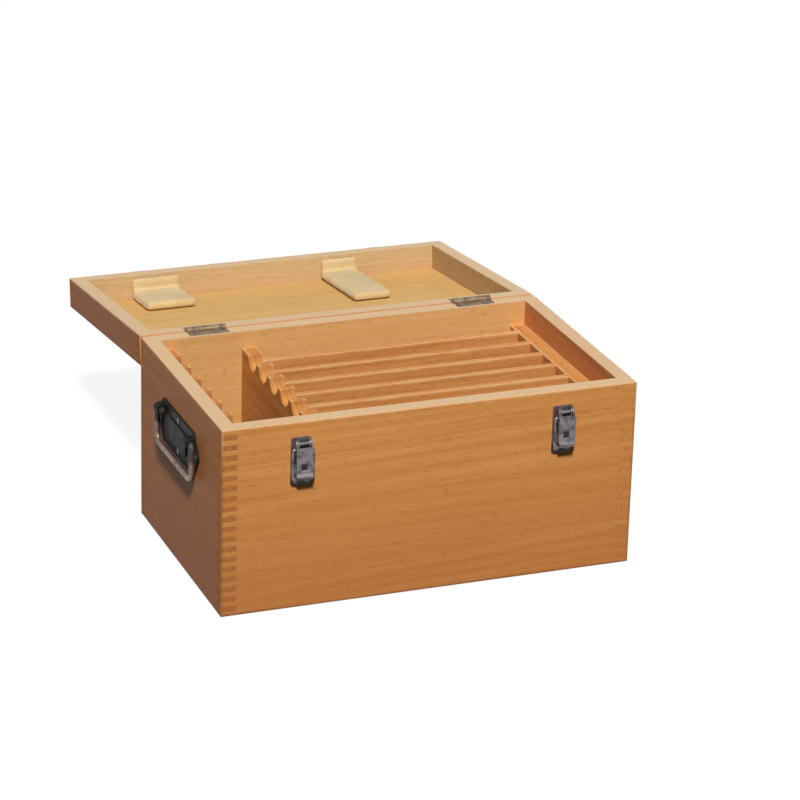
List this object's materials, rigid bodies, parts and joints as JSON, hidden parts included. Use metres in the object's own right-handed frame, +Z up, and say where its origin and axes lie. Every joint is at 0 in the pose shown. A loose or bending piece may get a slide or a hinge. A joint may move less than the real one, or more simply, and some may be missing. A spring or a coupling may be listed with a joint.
{
  "type": "micrometer case",
  "caption": "Finger-jointed wooden micrometer case, lid folded back on butt hinges, with draw latches, bail handles, racks and partitions inside.",
  "frame": {"origin": "centre of the body's underside, the face that it stands on", "axes": "+Z up, -Y towards the latches, +X to the right of someone facing the latches"},
  "size_m": [0.3444, 0.4183, 0.1507],
  "materials": {
    "case_wood": "satin varnish",
    "panel_wood": "satin varnish",
    "rack_wood": "plain planed",
    "felt": "matt",
    "hinge_steel": "dull plated",
    "nickel": "nickel plated",
    "handle_paint": "semi-gloss",
    "screw_steel": "plated"
  },
  "bodies": {
    "case_body": {"body_back_panel": "case_wood", "body_base_panel": "panel_wood", "body_front_panel": "case_wood", "body_left_panel": "case_wood", "body_right_panel": "case_wood", "handle_left_plate": "handle_paint", "handle_left_screws": "screw_steel", "handle_right_plate": "handle_paint", "handle_right_screws": "screw_steel", "hinge_left_body_leaf": "hinge_steel", "hinge_left_body_screws": "screw_steel", "hinge_left_pin": "hinge_steel", "hinge_right_body_leaf": "hinge_steel", "hinge_right_body_screws": "screw_steel", "hinge_right_pin": "hinge_steel", "latch_left_base": "nickel", "latch_left_base_screws": "screw_steel", "latch_left_pin": "nickel", "latch_right_base": "nickel", "latch_right_base_screws": "screw_steel", "latch_right_pin": "nickel", "partition_1": "rack_wood", "partition_2": "rack_wood", "partition_3": "rack_wood", "partition_4": "rack_wood", "partition_5": "rack_wood", "partition_6": "rack_wood", "partition_7": "rack_wood", "rack_cross": "rack_wood", "rack_left": "rack_wood", "rack_right": "rack_wood"},
    "lid": {"hinge_left_lid_leaf": "hinge_steel", "hinge_left_lid_screws": "screw_steel", "hinge_right_lid_leaf": "hinge_steel", "hinge_right_lid_screws": "screw_steel", "latch_left_strike": "nickel", "latch_left_strike_screws": "screw_steel", "latch_right_strike": "nickel", "latch_right_strike_screws": "screw_steel", "lid_back_rail": "case_wood", "lid_front_rail": "case_wood", "lid_left_rail": "case_wood", "lid_pad_left": "felt", "lid_pad_right": "felt", "lid_right_rail": "case_wood", "lid_top_panel": "panel_wood"},
    "latch_left_lever": {"latch_left_lever": "nickel"},
    "latch_left_loop": {"latch_left_loop": "nickel"},
    "handle_left_bail": {"handle_left_bail": "nickel"},
    "latch_right_lever": {"latch_right_lever": "nickel"},
    "latch_right_loop": {"latch_right_loop": "nickel"},
    "handle_right_bail": {"handle_right_bail": "nickel"}
  },
  "joints": [
    {"name": "lid_hinge", "type": "hinge", "parent": "case_body", "child": "lid", "pos_m": [0, 0.1015, 0.14815], "axis": [1, 0, 0], "range_deg": [0, 186.21]},
    {"name": "latch_left_lever_pivot", "type": "hinge", "parent": "case_body", "child": "latch_left_lever", "pos_m": [-0.1035, -0.1054, 0.133], "axis": [-1, 0, 0], "range_deg": [0, 150]},
    {"name": "latch_left_loop_swing", "type": "hinge", "parent": "latch_left_lever", "child": "latch_left_loop", "pos_m": [-0.1035, -0.1054, 0.1288], "axis": [1, 0, 0], "range_deg": [-186.82, 6.5]},
    {"name": "handle_left_bail_swing", "type": "hinge", "parent": "case_body", "child": "handle_left_bail", "pos_m": [-0.1683, 0, 0.114], "axis": [0, 1, 0], "range_deg": [0, 90]},
    {"name": "latch_right_lever_pivot", "type": "hinge", "parent": "case_body", "child": "latch_right_lever", "pos_m": [0.1035, -0.1054, 0.133], "axis": [-1, 0, 0], "range_deg": [0, 150]},
    {"name": "latch_right_loop_swing", "type": "hinge", "parent": "latch_right_lever", "child": "latch_right_loop", "pos_m": [0.1035, -0.1054, 0.1288], "axis": [1, 0, 0], "range_deg": [-186.82, 6.5]},
    {"name": "handle_right_bail_swing", "type": "hinge", "parent": "case_body", "child": "handle_right_bail", "pos_m": [0.1683, 0, 0.114], "axis": [0, -1, 0], "range_deg": [0, 90]}
  ]
}
